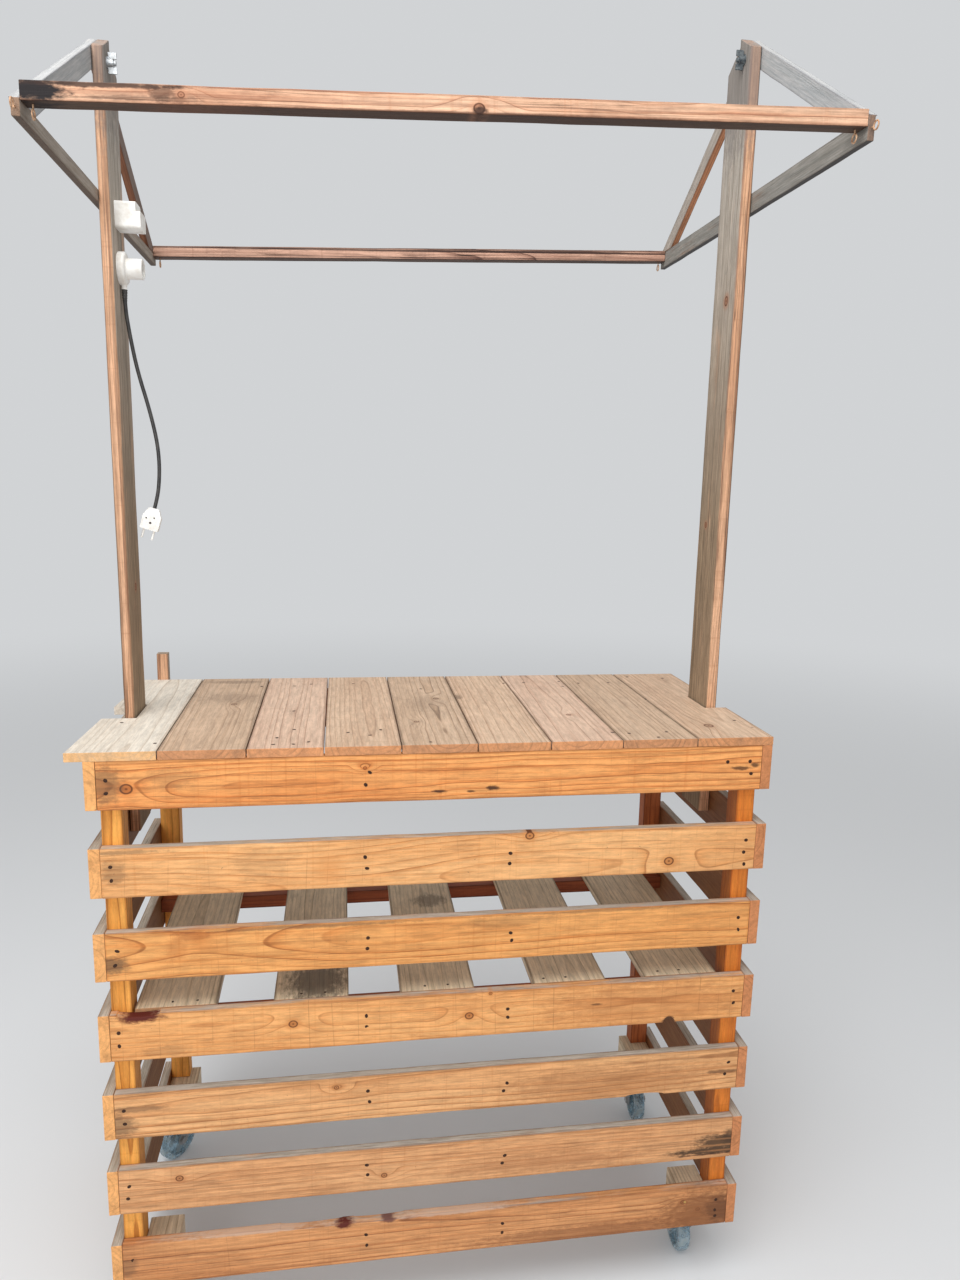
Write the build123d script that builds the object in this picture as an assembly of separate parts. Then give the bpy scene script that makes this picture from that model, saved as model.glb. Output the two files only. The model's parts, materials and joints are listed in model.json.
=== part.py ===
from build123d import *
import math
import os

# Wooden market stall: a slatted counter on four swivel casters, with two tall uprights that carry
# an open gable roof frame. Millimetres. While a piece is made, X runs along the counter from the
# left end of its front slats, Y runs into the depth from their faces, and Z is the height over the
# floor. place() moves every piece so that the origin is under the middle of the whole stall.

# Counter
counter_len = 1200.0
counter_depth = 550.0
counter_h = 1176.0
top_t = 16.0
slat_h = 92.0
slat_t = 18.0
slat_count = 6
slat_low = 121.0
apron_h = 88.0
apron_gap = 69.0
side_t = 20.0
post_w = 36.0
post_d = 43.0

# Counter top boards, from the left overhang to the right side's outer face
top_overhang = 49.5
top_widths = (150.5, 149.0, 133.0, 136.0, 137.0, 135.0, 135.5, 144.0, 149.5)
top_joint_gap = 2.0
top_taper = 20.5
notch_play = 3.0
notch_lip = 20.0

# Shelf boards, from left to right, and the battens that carry them
shelf_h = 687.0
shelf_t = 16.0
shelf_left = 40.0
shelf_right = 52.0
shelf_widths = (144.0, 138.0, 142.0, 144.0, 148.0)
shelf_gaps = (102.0, 96.0, 115.0, 79.0)
batten = 31.0

# Uprights and roof frame
upright_t = {"left": 20.0, "right": 24.0}
upright_w = 100.0
upright_y = 223.0
upright_foot = 232.0
ridge_z = {"left": 2381.0, "right": 2481.0}
gable_h = {"left": 255.0, "right": 286.0}
lap_h = 15.0
upright_chamfer = 3.0
rail_h = 25.0
rail_front_y = -173.0
rail_rear_y = 736.0
rail_rear_drop = 7.0
rafter_d = 35.0
rafter_t = 15.0
tie_h = {"left": 23.0, "right": 37.0}
tie_t = 12.0
rail_rise = {"left": 22.0, "right": 8.0}

# Bolt with a wing nut through the head of each upright
bolt_r = 4.0
bolt_drop = 32.0
bolt_set_back = 27.0
bolt_head_r = 9.0
bolt_head_t = 4.0
bolt_end = 4.0
washer_r = 10.0
washer_t = 2.0
wing_nut_r = 7.0
wing_nut_h = 9.0
wing_span = 34.0
wing_t = 3.0
wing_h = 14.0
hole_play = 0.3

# Screw eyes at the ends of the roof rails
eye_r = 7.5
eye_wire_r = 1.25
eye_shank = 6.0
eye_inset = 12.0

# Outlet box, lamp holder and its lead on the left upright
box_centre_z = 2093.0
box_h = 46.0
box_w = 46.0
box_out = 36.0
box_round = 5.0
box_lid_h = 30.0
box_lid_out = 8.0
holder_z = 2005.0
holder_base_r = 29.0
holder_base_t = 13.0
holder_cup_r = 18.0
holder_cup_len = 28.0
holder_bore_r = 14.0
holder_bore_depth = 24.0
gland_r = 5.0
gland_len = 12.0
gland_bite = 4.0
cord_r = 3.5
cord_points = (
    (0.0, 0.0, 0.0),
    (0.0, 0.0, -30.0),
    (3.5, 0.5, -62.0),
    (8.5, 1.5, -97.0),
    (14.0, 3.0, -130.0),
    (20.5, 4.5, -160.0),
    (30.0, 5.5, -196.0),
    (39.0, 6.0, -236.0),
    (45.5, 5.0, -272.0),
    (48.0, 3.5, -306.0),
    (47.0, 2.0, -340.0),
    (43.0, 1.0, -371.0),
    (36.5, 0.0, -394.0),
)
plug_len = 42.0
plug_w = 34.0
plug_neck_w = 18.0
plug_shoulder = 16.0
plug_t = 13.0
plug_round = 3.0
plug_pin_r = 2.0
plug_pin_len = 18.0
plug_pin_pitch = 19.0

# Upright batten behind the counter top
rear_batten_w = 25.0
rear_batten_t = 20.0
rear_batten_h = 536.0
rear_batten_rise = 60.0

# Casters
caster_h = 128.0
block_w = 64.0
block_d = 68.0
wheel_r = 50.0
wheel_w = 26.0
wheel_side_gap = 5.0
wheel_trail = 32.0
hub_r = 14.0
hub_gap = 0.3
web_w = 10.0
rim_t = 12.0
tread_round = 8.0
axle_r = 5.0
axle_head_r = 8.5
axle_head_t = 5.0
fork_t = 3.0
fork_top = 109.0
fork_crown_r = 26.0
fork_eye_r = 13.0
race_r = 23.0
race_gap = 0.4
plate_t = 3.0
plate_margin = 4.0
caster_angles = {"front_left": 97.0, "front_right": 88.0, "rear_left": 232.0, "rear_right": 268.0}

apron_top = counter_h - top_t
apron_low = apron_top - apron_h
slat_gap = (apron_low - apron_gap - slat_low - slat_count * slat_h) / (slat_count - 1)
slat_lows = [slat_low + i * (slat_h + slat_gap) for i in range(slat_count)]
block_top = caster_h + block_w
top_right = counter_len + side_t
upright_low = counter_h - upright_foot
upright_back = upright_y + upright_w
ridge_y = upright_y + upright_w / 2
upright_x = {"left": 0.0, "right": counter_len - upright_t["right"]}
rear_post_y = counter_depth - post_w
rear_batten_top = counter_h + rear_batten_rise
tie_top = {side: ridge_z[side] - gable_h[side] for side in ("left", "right")}
rail_top = {side: tie_top[side] + rail_rise[side] for side in ("left", "right")}
mid_x = (top_right - top_overhang) / 2
eye_reach = eye_shank + 2 * eye_r - eye_wire_r
mid_y = (rail_front_y - eye_reach + rail_rear_y) / 2


def place(shape):
    """Move a piece from the counter's corner to the middle of the stall."""
    return Pos(-mid_x, -mid_y, 0) * shape


def save(node, shape):
    """Write one sub-part, which may be several solids that don't touch."""
    solids = shape if isinstance(shape, list) else [shape]
    parts = [solid for item in solids for solid in place(item).solids()]
    export_step(Compound(children=parts) if len(parts) > 1 else parts[0], "parts/" + node + ".step")


def block(x0, x1, y0, y1, z0, z1):
    """A squared piece of timber between two corners."""
    return Pos(x0, y0, z0) * Box(x1 - x0, y1 - y0, z1 - z0, align=(Align.MIN, Align.MIN, Align.MIN))


def side_x(side, inner, thick):
    """The X span of a piece on a side's outer face, or on its inner face."""
    if side == "left":
        return (0.0, thick) if inner else (-thick, 0.0)
    return (counter_len - thick, counter_len) if inner else (counter_len, counter_len + thick)


def rod(start, direction, radius, length):
    """A round rod from a point along a direction."""
    return Plane(origin=start, z_dir=direction) * Cylinder(
        radius, length, align=(Align.CENTER, Align.CENTER, Align.MIN))


def counter_frame():
    """Corner posts, aprons and slats."""
    for side in ("left", "right"):
        x0, x1 = side_x(side, True, post_w)
        save("front_post_" + side, block(x0, x1, slat_t, slat_t + post_d, slat_low, apron_top))
        x0, x1 = side_x(side, True, post_d)
        save("rear_post_" + side, block(x0, x1, rear_post_y, counter_depth, block_top, apron_top))
        x0, x1 = side_x(side, False, side_t)
        save("side_apron_" + side, block(x0, x1, 0, counter_depth, apron_low, apron_top))
        save("side_slats_" + side, [block(x0, x1, 0, counter_depth, z, z + slat_h) for z in slat_lows])
    save("front_apron", block(0, counter_len, 0, slat_t, apron_low, apron_top))
    save("rear_apron", block(0, counter_len, rear_post_y - slat_t, rear_post_y, apron_low, apron_top))
    for number, z in enumerate(reversed(slat_lows), 1):
        save("front_slat_%d" % number, block(0, counter_len, 0, slat_t, z, z + slat_h))


def counter_top():
    """Boards that run front to back, the end ones notched round the uprights."""
    spare = (top_overhang + top_right - sum(top_widths)) / len(top_widths)
    boards = []
    left = -top_overhang
    for width in top_widths:
        right = left + width + spare
        inset_left = top_joint_gap / 2 if boards else 0
        inset_right = top_joint_gap / 2 if len(boards) < len(top_widths) - 1 else 0
        boards.append(block(left + inset_left, right - inset_right, 0, counter_depth, apron_top, counter_h))
        left = right
    notch_y = (upright_y - notch_play, upright_back + notch_play)
    notch_left = upright_t["left"] + notch_play
    notch_right = upright_x["right"] - notch_play
    boards[0] -= block(-top_overhang, notch_left, notch_y[0], notch_y[1] - notch_lip, apron_top, counter_h)
    boards[0] -= block(-notch_play, notch_left, notch_y[1] - notch_lip, notch_y[1], apron_top, counter_h)
    waste = Polyline((-top_overhang, 0), (top_taper - top_overhang, counter_depth),
                     (-top_overhang, counter_depth), close=True)
    boards[0] -= extrude(Plane.XY.offset(apron_top) * make_face(waste), amount=top_t)
    boards[-1] -= block(notch_right, top_right, *notch_y, apron_top, counter_h)
    save("top_board_left", boards[0])
    save("top_boards", boards[1:-1])
    save("top_board_right", boards[-1])


def shelf():
    """Boards laid on a batten at the front and one at the back."""
    rail_high = shelf_h - shelf_t
    save("shelf_rail_front", block(post_w, counter_len - post_w, slat_t, slat_t + batten,
                                   rail_high - batten, rail_high))
    save("shelf_rail_rear", block(0, counter_len, rear_post_y - batten, rear_post_y,
                                  rail_high - batten, rail_high))
    room = counter_len - shelf_left - shelf_right
    spare = (room - sum(shelf_widths) - sum(shelf_gaps)) / len(shelf_gaps)
    boards = []
    left = shelf_left
    for width, gap in zip(shelf_widths, (*shelf_gaps, 0)):
        boards.append(block(left, left + width, slat_t, rear_post_y, rail_high, shelf_h))
        left += width + gap + spare
    save("shelf_boards", boards)


def gable_piece(side, thick, outline):
    """A piece of the gable, cut from a board on the outer face, from its outline in Y and Z."""
    x0, x1 = side_x(side, False, thick)
    return extrude(Plane(origin=(x0, 0, 0), x_dir=(0, 1, 0), z_dir=(1, 0, 0)) * make_face(
        Polyline(*outline, close=True)), amount=x1 - x0)


def slope(side, foot_y):
    """How far a gable's edge rises for each millimetre from its foot to the ridge."""
    return gable_h[side] / (ridge_y - foot_y)


def rafter(side, foot_y):
    """A rafter on top of the tie, cut level at its foot and plumb at the ridge."""
    low = tie_top[side]
    rise = slope(side, foot_y)
    drop = rafter_d * math.hypot(1, rise)
    return gable_piece(side, rafter_t, [(foot_y, low), (ridge_y, ridge_z[side]),
                                        (ridge_y, ridge_z[side] - drop), (foot_y + drop / rise, low)])


def roof_rail(y0, drop):
    """A long rail between the gables, which rises to the right as they do."""
    left, right = rail_top["left"] - drop, rail_top["right"] - drop
    outline = Polyline((0, left), (counter_len, right), (counter_len, right - rail_h), (0, left - rail_h),
                       close=True)
    return extrude(Plane(origin=(0, y0, 0), x_dir=(1, 0, 0), z_dir=(0, -1, 0)) * make_face(outline),
                   amount=-batten)


def upright(side):
    """An upright whose head is cut to the gable's slopes, a little lower on its rear half."""
    x0, x1 = side_x(side, True, upright_t[side])
    top = ridge_z[side]
    front_top = top - slope(side, rail_front_y) * (ridge_y - upright_y)
    rear_top = top + slope(side, rail_rear_y) * (upright_back - ridge_y) - lap_h
    outline = Polyline((upright_y, upright_low), (upright_y, front_top), (ridge_y, top),
                       (ridge_y, top - lap_h), (upright_back, rear_top), (upright_back, upright_low),
                       close=True)
    board = extrude(Plane(origin=(x0, 0, 0), x_dir=(0, 1, 0), z_dir=(1, 0, 0)) * make_face(outline),
                    amount=x1 - x0)
    return chamfer(board.edges().filter_by(Axis.Z).group_by(Axis.Y)[0], upright_chamfer)


def roof():
    """Uprights, gable pieces and the two long rails."""
    for side in ("left", "right"):
        outward = -1 if side == "left" else 1
        outer_x = -rafter_t if side == "left" else counter_len + rafter_t
        bolt_y = upright_y + bolt_set_back
        bolt_z = ridge_z[side] - slope(side, rail_front_y) * (ridge_y - bolt_y) - bolt_drop
        bolt_at = (outer_x, bolt_y, bolt_z)
        grip = rafter_t + upright_t[side]
        hole = rod(bolt_at, (-outward, 0, 0), bolt_r + hole_play, grip)
        save("upright_" + side, upright(side) - hole)
        save("rafter_front_" + side, rafter(side, rail_front_y) - hole)
        save("rafter_rear_" + side, rafter(side, rail_rear_y))
        tie_low = tie_top[side] - tie_h[side]
        save("tie_" + side, gable_piece(side, tie_t, [
            (rail_front_y, tie_low), (rail_rear_y, tie_low), (rail_rear_y, tie_top[side]),
            (rail_front_y, tie_top[side])]))
        save("wing_bolt_" + side, wing_bolt(bolt_at, outward, grip))
    save("roof_rail_front", roof_rail(rail_front_y, 0))
    save("roof_rail_rear", roof_rail(rail_rear_y - batten, rail_rear_drop))


def wing_bolt(at, outward, grip):
    """A round-headed bolt through rafter and upright, with a washer and a wing nut on the inner face."""
    x, y, z = at
    inward = (-outward, 0, 0)
    washer_x = x - outward * grip
    nut_x = washer_x - outward * washer_t
    bolt = rod(at, (outward, 0, 0), bolt_head_r, bolt_head_t)
    bolt += rod(at, inward, bolt_r, grip + washer_t + wing_nut_h + bolt_end)
    bolt += rod((washer_x, y, z), inward, washer_r, washer_t)
    bolt += rod((nut_x, y, z), inward, wing_nut_r, wing_nut_h)
    ears = Plane(origin=(nut_x, y - wing_t / 2, z), x_dir=inward, z_dir=(0, 1, 0)) * (
        Rectangle(wing_h, wing_span, align=(Align.MIN, Align.CENTER))
        - Pos(wing_nut_h, 0) * Rectangle(wing_h, 2 * wing_nut_r, align=(Align.MIN, Align.CENTER)))
    ears = extrude(ears, amount=wing_t)
    return bolt + ears


def screw_eye(anchor, direction):
    """A ring of wire on a short shank, set on the wood."""
    shank = rod(anchor, direction, eye_wire_r, eye_shank)
    centre = tuple(a + d * (eye_reach - eye_r) for a, d in zip(anchor, direction))
    ring = Plane(origin=centre, z_dir=(1, 0, 0)) * Torus(eye_r - eye_wire_r, eye_wire_r)
    return shank + ring


def fittings():
    """Screw eyes at the ends of the rails, and the batten behind the counter."""
    eyes = []
    for side, tie_x, rail_x in (("left", -tie_t / 2, eye_inset),
                                ("right", counter_len + tie_t / 2, counter_len - eye_inset)):
        rise = (rail_top["right"] - rail_top["left"]) * rail_x / counter_len
        under = rail_top["left"] + rise - rail_h
        eyes.append(screw_eye((tie_x, rail_front_y, tie_top[side] - tie_h[side] / 2), (0, -1, 0)))
        eyes.append(screw_eye((rail_x, rail_front_y + batten / 2, under), (0, 0, -1)))
        eyes.append(screw_eye((rail_x, rail_rear_y - batten / 2, under - rail_rear_drop), (0, 0, -1)))
    save("screw_eyes", eyes)
    save("rear_batten", block(0, rear_batten_w, counter_depth, counter_depth + rear_batten_t,
                              rear_batten_top - rear_batten_h, rear_batten_top))


def electrics():
    """Outlet box and lamp holder on the left upright, with the lead that hangs from the holder."""
    face = upright_t["left"]
    y = upright_y + upright_w / 2
    box = Pos(face + box_out / 2, y, box_centre_z) * Box(box_out, box_w, box_h)
    box += Pos(face + box_out + box_lid_out / 2, y, box_centre_z - (box_h - box_lid_h) / 2) * Box(
        box_lid_out, box_w, box_lid_h)
    box = fillet(box.edges().filter_by(Axis.X), box_round)
    save("outlet_box", box)

    base = rod((face, y, holder_z), (1, 0, 0), holder_base_r, holder_base_t)
    base = fillet(base.faces().sort_by(Axis.X)[-1].edges(), holder_base_t / 3)
    cup_x = face + holder_base_t
    cup = rod((cup_x, y, holder_z), (1, 0, 0), holder_cup_r, holder_cup_len)
    bore = rod((cup_x + holder_cup_len - holder_bore_depth, y, holder_z), (1, 0, 0), holder_bore_r,
               holder_bore_depth)
    gland_x = face + holder_base_t / 2
    gland = rod((gland_x, y, holder_z - holder_base_r + gland_bite), (0, 0, -1), gland_r, gland_len)
    save("lamp_holder", base + cup - bore + gland)

    exit_z = holder_z - holder_base_r + gland_bite - gland_len
    points = [(gland_x + px, y + py, exit_z + pz) for px, py, pz in cord_points]
    radii = cord_radii(points)
    path = FilletPolyline(*points, radius=radii)
    section = Plane(origin=path @ 0, z_dir=path % 0) * Circle(cord_r)
    cord = sweep(section, path=path)
    ideal = math.pi * cord_r ** 2 * path.length
    print("cord length %.1f, volume %.0f of %.0f, radii %s" % (
        path.length, cord.volume, ideal, " ".join("%.0f" % r for r in radii)))
    save("lamp_cord", cord)

    direction = path % 1
    plug_plane = Plane(origin=path @ 1, x_dir=(direction.Z, 0, -direction.X), z_dir=direction)
    outline = Polyline((-plug_neck_w / 2, 0), (plug_neck_w / 2, 0), (plug_w / 2, plug_shoulder),
                       (plug_w / 2, plug_len), (-plug_w / 2, plug_len), (-plug_w / 2, plug_shoulder),
                       close=True)
    body = extrude(Plane(origin=(0, plug_t / 2, 0), x_dir=(1, 0, 0), z_dir=(0, -1, 0)) * make_face(outline),
                   amount=plug_t)
    body = fillet(body.edges().filter_by(Axis.Y), plug_round)
    for offset in (-plug_pin_pitch / 2, plug_pin_pitch / 2):
        body += Pos(offset, 0, plug_len) * Cylinder(
            plug_pin_r, plug_pin_len, align=(Align.CENTER, Align.CENTER, Align.MIN))
    save("cord_plug", plug_plane * body)


def cord_radii(points):
    """One radius for each corner: 0.45 of the shorter run, divided by the tangent of half the turn."""
    radii = []
    for before, here, after in zip(points, points[1:], points[2:]):
        run_in = Vector(*here) - Vector(*before)
        run_out = Vector(*after) - Vector(*here)
        turn = math.radians(run_in.get_angle(run_out))
        radii.append(0.45 * min(run_in.length, run_out.length) / math.tan(turn / 2))
    return radii


def caster_blocks():
    """Blocks in the lower corners that the casters are screwed to, with each swivel's centre."""
    spots = {}
    blocks = []
    for end, y0 in (("front", slat_t), ("rear", counter_depth - block_d)):
        inset = post_w if end == "front" else 0.0
        for side in ("left", "right"):
            x0 = inset if side == "left" else counter_len - inset - block_w
            blocks.append(block(x0, x0 + block_w, y0, y0 + block_d, caster_h, block_top))
            spots[end + "_" + side] = (x0 + block_w / 2, y0 + block_d / 2)
    save("caster_blocks", blocks)
    return spots


def wheel():
    """A gel wheel on its hub, turned about Y, with the axle's bore through it."""
    half_hub = wheel_w / 2 + wheel_side_gap - hub_gap
    rim_r = wheel_r - rim_t
    outline = Polyline(
        (axle_r + hub_gap, 0), (axle_r + hub_gap, half_hub), (hub_r, half_hub), (hub_r, web_w / 2),
        (rim_r, web_w / 2), (rim_r, wheel_w / 2), (wheel_r, wheel_w / 2), (wheel_r, 0), close=True)
    half = make_face(outline)
    half = fillet(half.vertices().sort_by_distance((wheel_r, wheel_w / 2))[0], tread_round)
    profile = half + mirror(half, about=Plane.XZ)
    return Rot(-90, 0, 0) * revolve(Plane.XZ * profile, axis=Axis.Z)


def fork():
    """Two legs under a round crown, with the axle and the lower race."""
    inside = wheel_w / 2 + wheel_side_gap
    outside = inside + fork_t
    crown_low = fork_top - fork_t
    crown = Pos(0, 0, crown_low) * Cylinder(
        fork_crown_r, fork_t, align=(Align.CENTER, Align.CENTER, Align.MIN))
    leg_shape = make_hull([
        *(Pos(wheel_trail, wheel_r) * Circle(fork_eye_r)).edges(),
        *(Pos(0, fork_top - fork_crown_r / 8) * Rectangle(fork_crown_r * 1.6, fork_crown_r / 4)).edges(),
    ])
    body = crown
    for y0 in (-outside, inside):
        body += extrude(Plane(origin=(0, y0 + fork_t, 0), x_dir=(1, 0, 0), z_dir=(0, -1, 0)) * leg_shape,
                        amount=fork_t)
    body &= block(-200, 200, -outside, outside, 0, fork_top)
    axle_y = outside + axle_head_t
    body += rod((wheel_trail, -axle_y, wheel_r), (0, 1, 0), axle_r, 2 * axle_y)
    for y0 in (-axle_y, outside):
        body += Plane(origin=(wheel_trail, y0, wheel_r), z_dir=(0, 1, 0)) * extrude(
            RegularPolygon(axle_head_r, 6), amount=axle_head_t)
    body += rod((0, 0, fork_top), (0, 0, 1), race_r, race_depth())
    return body


def race_depth():
    """Half of the height between the fork's crown and the mounting plate, less the running gap."""
    return (caster_h - plate_t - fork_top - race_gap) / 2


def top_plate():
    """Mounting plate with the upper race, screwed under its block."""
    plate = Pos(0, 0, caster_h - plate_t / 2) * Box(
        block_w - 2 * plate_margin, block_d - 2 * plate_margin, plate_t)
    plate = fillet(plate.edges().filter_by(Axis.Z), plate_margin)
    depth = race_depth()
    return plate + rod((0, 0, caster_h - plate_t - depth), (0, 0, 1), race_r, depth)


def casters(spots):
    """Each caster's plate stays on the counter, its fork swivels and its wheel spins."""
    plates = []
    for name, (x, y) in spots.items():
        angle = caster_angles[name]
        plates.append(Pos(x, y, 0) * top_plate())
        save("caster_fork_" + name, Pos(x, y, 0) * Rot(0, 0, angle) * fork())
        save("caster_wheel_" + name,
             Pos(x, y, 0) * Rot(0, 0, angle) * Pos(wheel_trail, 0, wheel_r) * wheel())
        away = math.radians(angle)
        print("caster %s: swivel at (%.2f, %.2f), axle at (%.2f, %.2f, %.1f) along (%.5f, %.5f, 0)" % (
            name, x - mid_x, y - mid_y, x - mid_x + wheel_trail * math.cos(away),
            y - mid_y + wheel_trail * math.sin(away), wheel_r, -math.sin(away), math.cos(away)))
    save("caster_plates", plates)


os.makedirs("parts", exist_ok=True)
counter_frame()
counter_top()
shelf()
roof()
fittings()
electrics()
casters(caster_blocks())
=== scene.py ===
import json
import math
import bmesh
import bpy
from mathutils import Matrix, Vector, noise


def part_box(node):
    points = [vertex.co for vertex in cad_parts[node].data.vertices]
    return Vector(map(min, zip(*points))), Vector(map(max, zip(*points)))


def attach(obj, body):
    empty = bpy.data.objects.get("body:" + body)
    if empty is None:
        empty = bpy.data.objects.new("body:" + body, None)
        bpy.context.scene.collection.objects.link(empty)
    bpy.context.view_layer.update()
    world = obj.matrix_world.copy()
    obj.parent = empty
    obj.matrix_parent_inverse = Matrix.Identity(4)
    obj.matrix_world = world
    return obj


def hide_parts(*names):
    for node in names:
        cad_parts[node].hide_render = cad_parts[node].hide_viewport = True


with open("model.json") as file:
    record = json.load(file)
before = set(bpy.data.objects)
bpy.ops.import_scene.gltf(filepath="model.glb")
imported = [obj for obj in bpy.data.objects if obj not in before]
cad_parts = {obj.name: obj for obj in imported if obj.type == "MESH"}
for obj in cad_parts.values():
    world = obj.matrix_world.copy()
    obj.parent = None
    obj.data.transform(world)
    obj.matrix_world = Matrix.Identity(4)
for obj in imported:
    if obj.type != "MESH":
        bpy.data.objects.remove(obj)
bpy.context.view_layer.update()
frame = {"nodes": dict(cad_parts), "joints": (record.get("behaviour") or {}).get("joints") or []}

X, Y, Z = Vector((1, 0, 0)), Vector((0, 1, 0)), Vector((0, 0, 1))
MID_X, MID_Y = 585.25, 271.625
COUNTER_TOP, SHELF_TOP, APRON_MIDDLE = 1176, 687, 1116.0
WELD = 0.00001


def spot(x, y, z):
    """A place, in millimetres from the front slats' left end, their faces and the floor."""
    return Vector(((x - MID_X) / 1000, (y - MID_Y) / 1000, z / 1000))


def tone(red, green, blue):
    """A colour as a screen shows it, 0 to 255, for a shader socket."""
    return tuple((c / 255) ** 2.2 for c in (red, green, blue)) + (1.0,)


def stray(place):
    """Three small numbers that follow from a place alone, each from -1 to 1."""
    return Vector([noise.noise(place + X * shift) for shift in (0.0, 31.7, 67.3)])


# Camera

def set_camera():
    """A hand-held view from a little left of the middle, turned right, down and slightly over."""
    pan, tilt, roll = -0.15373, 0.18162, 0.02201
    data = bpy.data.cameras.new("camera")
    data.sensor_fit = "HORIZONTAL"
    data.sensor_width = 36.0
    data.lens = 34.13
    camera = bpy.data.objects.new("camera", data)
    bpy.context.scene.collection.objects.link(camera)
    camera.matrix_world = (Matrix.Translation(spot(413.9, -1554.0, 1654.2))
                           @ Matrix.Rotation(pan, 4, "Z")
                           @ Matrix.Rotation(math.pi / 2 - tilt, 4, "X")
                           @ Matrix.Rotation(roll, 4, "Z"))
    bpy.context.scene.camera = camera


# Shader shorthand

def add(tree, kind, inputs=None, **settings):
    """A shader node with its settings, its values and its links."""
    node = tree.nodes.new("ShaderNode" + kind)
    for name, value in settings.items():
        setattr(node, name, value)
    for name, value in (inputs or {}).items():
        if isinstance(value, bpy.types.NodeSocket):
            tree.links.new(value, node.inputs[name])
        else:
            node.inputs[name].default_value = value
    return node


def calc(tree, operation, first, second=0.0, clamp=False):
    """One sum on two numbers."""
    node = add(tree, "Math", {0: first, 1: second}, operation=operation, use_clamp=clamp)
    return node.outputs[0]


def vcalc(tree, operation, first, second=(0, 0, 0)):
    """One sum on two vectors."""
    node = add(tree, "VectorMath", {0: first, 1: second}, operation=operation)
    return node.outputs["Value" if operation in ("LENGTH", "DOT_PRODUCT") else "Vector"]


def blend(tree, factor, first, second, how="MIX"):
    """The first colour with the second one over it."""
    node = add(tree, "Mix", {0: factor, 6: first, 7: second}, data_type="RGBA", blend_type=how)
    return node.outputs[2]


def fade(tree, value, start, end, low=0.0, high=1.0):
    """A smooth step of a value between two limits."""
    node = add(tree, "MapRange", {"Value": value, "From Min": start, "From Max": end,
                                  "To Min": low, "To Max": high}, interpolation_type="SMOOTHSTEP")
    return node.outputs["Result"]


def ramp(tree, factor, stops):
    """A colour that changes along a factor; each stop is a place and a colour."""
    node = add(tree, "ValToRGB", {"Fac": factor})
    points = node.color_ramp.elements
    while len(points) < len(stops):
        points.new(0.5)
    for point, (place, shade) in zip(points, stops):
        point.position = place
        point.color = tone(*shade)
    return node.outputs["Color"]


def cloud(tree, vector, scale, detail=2.0, seed=0.0, rough=0.5):
    """Soft noise, from 0 to 1."""
    return add(tree, "TexNoise", {"Vector": vector, "W": seed, "Scale": scale, "Detail": detail,
                                  "Roughness": rough}, noise_dimensions="4D").outputs["Fac"]


def grain(tree, place, lengthways, crossways, detail, seed, rough=0.5):
    """Soft noise drawn out along a board; the two numbers say how often it changes in a metre."""
    stretched = vcalc(tree, "MULTIPLY", place, (lengthways, crossways, crossways))
    return cloud(tree, stretched, 1.0, detail, seed, rough)


def chance(tree, number):
    """A steady random value for each whole number."""
    return add(tree, "TexWhiteNoise", {"W": number}, noise_dimensions="1D").outputs["Value"]


def local(tree):
    """The place on the object, in metres."""
    return add(tree, "TexCoord").outputs["Object"]


def finish(name):
    """An empty material with its shader."""
    material = bpy.data.materials.new(name)
    material.use_nodes = True
    tree = material.node_tree
    return material, tree, tree.nodes["Principled BSDF"]


def relief(tree, shader, height, strength, depth):
    """Fine unevenness of a surface."""
    bump = add(tree, "Bump", {"Height": height, "Strength": strength, "Distance": depth})
    tree.links.new(bump.outputs["Normal"], shader.inputs["Normal"])


# Sawn timber: growth rings about a pith line beside the board, fibres, weather, saw marks and knots

def look(pale, ring, stain, end, gap=0.0085, grey=0.1, top=0.0, side=0.0, under=0.3, check=0.1,
         press=0.0, edge=0.45, inward=0.0, foot=0.0):
    """The colours, the wear and the painted shade of one kind of board; under and inward are
    painted shade on undersides and inner faces, and foot is how brown its film turns low down.
    """
    return dict(pale=pale, ring=ring, stain=stain, end=end, gap=gap, grey=grey, top=top, side=side,
                under=under, check=check, press=press, edge=edge, inward=inward, foot=foot)


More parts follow.
